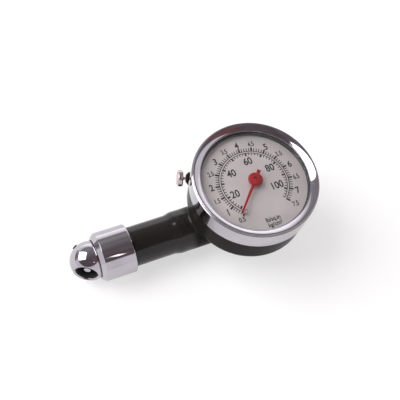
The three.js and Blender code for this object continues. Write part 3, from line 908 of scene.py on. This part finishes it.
pointer()
STOP_POST_R = 0.65
STOP_SHANK_R = 0.3
STOP = rounded([
    (0, -1.2, 0),
    (STOP_SHANK_R, -1.2, 0),
    (STOP_SHANK_R, 0.06, 0),
    (STOP_POST_R, 0.06, 0.05),
    (STOP_POST_R, 2.4, 0.1),
    (0.4, 2.7, 0.1),
    (0, 2.7, 0),
], steps=5, support=0.02)
stop_spot = HEAD + Vector((*polar(STOP_R, STOP_ANGLE), 0))
lathe("stop_post", STOP, "nickel", "gauge_body", ["stop_pin"], stop_spot, segments=48)

# ---------------------------------------------------------------- release valve
BUTTON_R = 3.4
BUTTON_BACK, BUTTON_FRONT = 3.2, 5.5
BUTTON_ROD_R = 0.7
BUTTON = rounded([
    (0, -8.6, 0),
    (0.6, -8.6, 0.05),
    (0.6, -7.4, 0),
    (1.7, -7.4, 0.05),
    (1.7, -6.7, 0.05),
    (BUTTON_ROD_R, -6.7, 0),
    (BUTTON_ROD_R, BUTTON_BACK, 0.15),
    (BUTTON_R - 0.3, BUTTON_BACK, 0.3),
    (BUTTON_R, 3.6, 0.2),
    (BUTTON_R, 5.0, 0.35),
    (2.6, BUTTON_FRONT, 0.6),
    (0, BUTTON_FRONT, 0),
])
lathe("button_cap", BUTTON, "nickel", "button", ["release_button"], VALVE, VALVE_WAY, segments=96)
BUSH_BORE_R, BUSH_R, BUSH_FLANGE_R = 1.0, 1.9, 2.6
BUSH = rounded([
    (BUSH_BORE_R, -6, 0),
    (BUSH_R, -6, 0.05),
    (BUSH_R, 0.65, 0),
    (BUSH_FLANGE_R, 0.65, 0.08),
    (BUSH_FLANGE_R, 0.95, 0.12),
    (1.5, 1.9, 0.15),
    (BUSH_BORE_R, 1.9, 0.05),
], loop=True)
lathe("button_bush", BUSH, "black_gloss", "gauge_body", ["release_bush"], VALVE, VALVE_WAY, segments=96)

# ---------------------------------------------------------------- springs and the Bourdon tube
TURN_STEPS = 32                 # stations in one turn of a coil
WIRE_SIDES = 12


def spring(name, radius, low, high, turns, wire, node, origin, way):
    """A coil spring wound from its low end to its high end."""
    stations = []
    slope = (high - low) / (2 * math.pi * turns)
    for i in range(turns * TURN_STEPS + 1):
        t = 2 * math.pi * i / TURN_STEPS
        side = Vector((math.cos(t), math.sin(t), 0))
        heading = Vector((-radius * math.sin(t), radius * math.cos(t), slope)).normalized()
        centre = side * radius + UP * (low + slope * t)
        stations.append((centre, side, heading.cross(side)))
    mesh = sweep_mesh(name, stations, oval(wire / 2, wire / 2, WIRE_SIDES), (), origin, way)
    made = finish_mesh(name, mesh, "steel", "gauge_body", [node])
    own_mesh(made)


spring(
    "release_coil", radius=1.35, low=-10.2, high=-7.75, turns=4, wire=0.35,
    node="release_spring", origin=VALVE, way=VALVE_WAY,
)
spring(
    "check_coil", radius=1.7, low=41.2, high=46.2, turns=5, wire=0.4,
    node="check_valve_spring", origin=HANDLE, way=OUT,
)

TUBE_R = 18.5
TUBE_START, TUBE_END = 132, -120
TUBE_LEVEL = VALVE_LEVEL - 2
TUBE_STEPS = 96
TUBE_SIDES = 32
TUBE_OUTSIDE = 1.2, 3.0         # half the width and half the height of the flattened tube
TUBE_BORE = 0.8, 2.6


def bourdon_bend():
    """The flattened tube bent round the movement."""
    stations = []
    for i in range(TUBE_STEPS + 1):
        turn = TUBE_START + (TUBE_END - TUBE_START) * i / TUBE_STEPS
        side = Vector((*polar(1, turn), 0))
        stations.append((side * TUBE_R + UP * TUBE_LEVEL, side, UP))
    outside, bore = oval(*TUBE_OUTSIDE, TUBE_SIDES), oval(*TUBE_BORE, TUBE_SIDES)
    mesh = sweep_mesh("bourdon_bend", stations, outside, bore)
    made = finish_mesh("bourdon_bend", mesh, "brass", None, ["bourdon_tube"])
    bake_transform(made)


bourdon_bend()

# ---------------------------------------------------------------- collar and ball
STEM_R = 4.6
STUB_SOCKET_R, STUB_SOCKET_END = 7.9, 57.9
BALL_SOCKET_FLOOR = 60.4
COLLAR = rounded([
    (STUB_SOCKET_R, COLLAR_NEAR, 0.15),
    (COLLAR_R, COLLAR_NEAR, 0.45),
    (COLLAR_R, COLLAR_FAR - 1.7, 0.15),
    (COLLAR_R - 1.5, COLLAR_FAR, 0.1),
    (BALL_R - 0.15, COLLAR_FAR, 0.15),
    (BALL_R - 0.15, BALL_SOCKET_FLOOR, 0.3),
    (STEM_R + 0.35, BALL_SOCKET_FLOOR, 0.1),
    (STEM_R + 0.35, STUB_SOCKET_END, 0.1),
    (STUB_SOCKET_R, STUB_SOCKET_END, 0.1),
], loop=True)
lathe("collar_shell", COLLAR, "chrome", "gauge_body", ["collar_nut"], HANDLE, OUT, segments=224)

POCKET_R = 4.45
POCKET_FLOOR = -0.3
MOUTH = 6.0                     # distance of the flat round the pocket from the ball's centre
RIM_ANGLE = math.degrees(math.asin(MOUTH / BALL_R))
ball_outside = arc(0, 0, BALL_R, -90, RIM_ANGLE - 0.6, 72)
ball_inside = rounded([
    (0, 0, 0),
    (BALL_R * math.cos(math.radians(RIM_ANGLE)), MOUTH, 0.0),
    (POCKET_R + 0.4, MOUTH, 0.1),
    (POCKET_R, MOUTH - 0.4, 0.15),
    (POCKET_R, POCKET_FLOOR, 0.2),
    (0, POCKET_FLOOR, 0),
], steps=6, support=0.03)
BALL_PROFILE = ball_outside + ball_inside[1:]
lathe("ball_shell", BALL_PROFILE, "chrome", "chuck", ["chuck_ball"], BALL, CHUCK_MOUTH, segments=192)
AIR_HOLE_R = 1.6
FLANGE_NEAR, FLANGE_FAR, STEM_FAR = 55.6, 57.6, 62.2
SWIVEL_FLANGE_R = 6.8
STEM = rounded([
    (AIR_HOLE_R, FLANGE_NEAR, 0.1),
    (SWIVEL_FLANGE_R, FLANGE_NEAR, 0.15),
    (SWIVEL_FLANGE_R, FLANGE_FAR, 0.15),
    (STEM_R, FLANGE_FAR, 0.1),
    (STEM_R, STEM_FAR, 0.05),
    (AIR_HOLE_R, STEM_FAR, 0.05),
], loop=True)
lathe("ball_stem", STEM, "chrome", "chuck", (), HANDLE, OUT, segments=96)
SEAL_BORE_R = 2.3
SEAL_BOTTOM, SEAL_FACE, LINING_TOP = 0.8, 1.9, 5.3
SEAL = rounded([
    (SEAL_BORE_R, SEAL_BOTTOM, 0.1),
    (4.25, SEAL_BOTTOM, 0.05),
    (4.4, LINING_TOP, 0.1),
    (4.1, LINING_TOP, 0.1),
    (3.95, SEAL_FACE, 0.3),
    (2.6, SEAL_FACE, 0.3),
    (SEAL_BORE_R, 1.5, 0.15),
], loop=True)
lathe("ball_seal", SEAL, "black_rubber", "chuck", ["chuck_seal"], BALL, CHUCK_MOUTH, segments=96)
POST_R, POST_FOOT_R, POST_TOP = 1.4, 1.7, 4.45
DEPRESSOR = rounded([
    (0, 0, 0),
    (POST_FOOT_R, 0, 0.1),
    (POST_FOOT_R, 0.5, 0.1),
    (POST_R, 0.5, 0.1),
    (POST_R, POST_TOP, 0.2),
    (0, POST_TOP, 0),
])
lathe("ball_depressor", DEPRESSOR, "chrome", "chuck", ["core_depressor"], BALL, CHUCK_MOUTH, segments=64)
NUB_R, NUB_TOP = 0.66, 8.3
NUB = rounded([(0, 6.5, 0), (NUB_R, 6.5, 0), (NUB_R, NUB_TOP, 0.2), (0, NUB_TOP, 0)], support=0.02)
lathe("ball_nub", NUB, "steel", "chuck", ["deflator_nub"], BALL, NUB_WAY, segments=48)
NUB_SEAT = rounded([
    (0.72, 7.4, 0),
    (1.05, 7.4, 0),
    (1.05, 8.35, 0.1),
    (0.72, 8.35, 0.05),
], loop=True, support=0.02)
lathe("nub_seat", NUB_SEAT, "black_rubber", "chuck", (), BALL, NUB_WAY, segments=48)

# ---------------------------------------------------------------- screws in the back
SCREW_HEAD_R = 2.2
SHANK_R = 1.1
SHANK_END = -13.2
HEAD_TOP, HEAD_UNDER = CASE_BACK - 1.3, CASE_BACK - 0.1
SCREW = rounded([
    (0, HEAD_TOP, 0),
    (1.6, HEAD_TOP, 0.3),
    (SCREW_HEAD_R, CASE_BACK - 0.85, 0.15),
    (SCREW_HEAD_R, HEAD_UNDER, 0.05),
    (SHANK_R, HEAD_UNDER, 0),
    (SHANK_R, SHANK_END, 0.1),
    (0, SHANK_END, 0),
])
SLOT_LONG, SLOT_WIDE = 3, 0.28  # half the length and half the width of the slot's cutter
SLOT_TURN = 0.5                 # radians, each screw the other way
SLOT_LOW, SLOT_HIGH = CASE_BACK - 2, CASE_BACK - 0.8


def back_screw(number, side):
    """A slotted screw in the case's back, on one side of the handle."""
    spot = HEAD + Vector((SCREW_SPOT[0], side * SCREW_SPOT[1], 0))
    signs = ((-1, -1), (1, -1), (1, 1), (-1, 1))
    outline = [(SLOT_LONG * u, SLOT_WIDE * v) for u, v in signs]
    slot = prism_mesh("slot", outline, SLOT_LOW, SLOT_HIGH)
    turned = Matrix.Rotation(SLOT_TURN * side, 4, "Z")
    slot.transform(Matrix.Translation((spot - HEAD) * MM) @ turned)
    screw = combine("DIFFERENCE", lathe_mesh("screw", SCREW, spot, segments=64), slot)
    finish_mesh(f"back_screw_{number}", screw, "steel", "gauge_body", [f"socket_screw_{number}"])


back_screw(1, -1)
back_screw(2, 1)

# ---------------------------------------------------------------- studio
SENSOR_MM = 36
LENS_MM = 68.16
# the camera's place in metres, and the directions of the picture's right and top
EYE = Vector((-0.11057, -0.10930, 0.29152))
RIGHT = Vector((0.90993, -0.38927, 0.14312))
TOP = Vector((0.28831, 0.84175, 0.45643))


def add_camera():
    data = bpy.data.cameras.new("photo_view")
    data.sensor_width = SENSOR_MM
    data.lens = LENS_MM
    data.clip_start = 0.01
    camera = bpy.data.objects.new("photo_view", data)
    bpy.context.scene.collection.objects.link(camera)
    columns = Matrix((RIGHT, TOP, RIGHT.cross(TOP))).transposed()
    camera.matrix_world = Matrix.Translation(EYE) @ columns.to_4x4()
    bpy.context.scene.camera = camera


FLOOR_HALF = 3.0                # in metres
FLOOR_GLOW = 0.54               # the floor is a sheet of white plastic lit from below


def add_floor():
    mesh = bpy.data.meshes.new("floor")
    signs = ((-1, -1), (1, -1), (1, 1), (-1, 1))
    corners = [(u * FLOOR_HALF, v * FLOOR_HALF, 0) for u, v in signs]
    mesh.from_pydata(corners, [], [(0, 1, 2, 3)])
    made, shader = new_material("pale_floor")
    shader.inputs["Base Color"].default_value = (0.55, 0.55, 0.55, 1)
    shader.inputs["Roughness"].default_value = 0.9
    shader.inputs["Specular IOR Level"].default_value = 0.1
    shader.inputs["Emission Color"].default_value = (1, 1, 1, 1)
    shader.inputs["Emission Strength"].default_value = FLOOR_GLOW
    mesh.materials.append(made)
    floor = bpy.data.objects.new("floor", mesh)
    bpy.context.scene.collection.objects.link(floor)


def add_lamp(name, aim, way, distance, width, height, radiance, colour=(1, 1, 1)):
    """A soft rectangular lamp that faces the aimed point from the given way."""
    data = bpy.data.lights.new(name, "AREA")
    data.shape = "RECTANGLE"
    data.size, data.size_y = width, height
    data.energy = radiance * math.pi * width * height
    data.color = colour
    lamp = bpy.data.objects.new(name, data)
    lamp.visible_camera = False
    bpy.context.scene.collection.objects.link(lamp)
    way = Vector(way).normalized()
    lamp.rotation_euler = way.to_track_quat("Z", "X").to_euler()
    lamp.location = way * distance + Vector(aim)


def toward(shader, way):
    """How far a direction of the surroundings leans toward a given way."""
    place = add_node(shader, "ShaderNodeTexCoord")
    made = add_node(shader, "ShaderNodeVectorMath", operation="DOT_PRODUCT")
    link(place.outputs["Generated"], made.inputs[0])
    made.inputs[1].default_value = way
    return made.outputs["Value"]


def add_surroundings():
    """A studio whose white walls end at about thirty degrees above the floor, under a dim ceiling.
    Walls and ceiling are brighter on the +Y side, a doorway below the window is dim too, and a
    patch of the ceiling is warm and reddish."""
    world = bpy.data.worlds.new("studio")
    world.use_nodes = True
    bpy.context.scene.world = world
    shade = world.node_tree.nodes["Background"]
    place = add_node(shade, "ShaderNodeTexCoord")
    height = toward(shade, (-0.12, 0.08, 1.0))
    doorway = level(shade, toward(shade, (-0.77, 0.64, 0.0)), 0, 1, 0.90, 0.95)
    above = math_node(shade, "MAXIMUM", level(shade, height, 0, 1, 0.46, 0.52), doorway)
    far_side = level(shade, toward(shade, (0, 1, 0)), 0, 1, -0.2, 0.8)
    bright_wall = level(shade, toward(shade, (0.6, 0.8, -1.0)), 0, 1, 0.4, 0.95)
    walls = mixed(shade, bright_wall, (1.0, 0.98, 1.02), (2.2, 2.2, 2.2))
    ceiling = mixed(shade, far_side, (0.20, 0.17, 0.175), (0.50, 0.48, 0.50))
    warm_spot = level(shade, toward(shade, (0.507, -0.45, 0.735)), 0, 1, 0.93, 0.985)
    ceiling = mixed(shade, warm_spot, ceiling, (0.32, 0.17, 0.165))
    stretched = add_node(shade, "ShaderNodeMapping", Scale=(0.4, 1, 1))
    link(place.outputs["Generated"], stretched.inputs["Vector"])
    streaks = add_node(shade, "ShaderNodeTexNoise", Scale=7.0, Detail=3.0)
    link(stretched.outputs["Vector"], streaks.inputs["Vector"])
    ceiling = mixed(shade, level(shade, streaks.outputs["Fac"], 0.6, 1, 0.35, 0.65), (0, 0, 0), ceiling)
    link(mixed(shade, above, walls, ceiling), shade.inputs["Color"])


add_camera()
add_floor()
add_surroundings()
add_lamp(
    "window_light", aim=(0, 0, 0.02), way=(-0.605, 0.36, 0.71), distance=1.1,
    width=0.84, height=0.84, radiance=5.2,
)
add_lamp(
    "strip_light", aim=(-0.058, -0.005, 0.019), way=(0.176, -0.60, 0.78), distance=0.16,
    width=0.024, height=0.0053, radiance=3, colour=(1, 0.95, 0.88),
)

bpy.context.scene.view_settings.view_transform = "Standard"
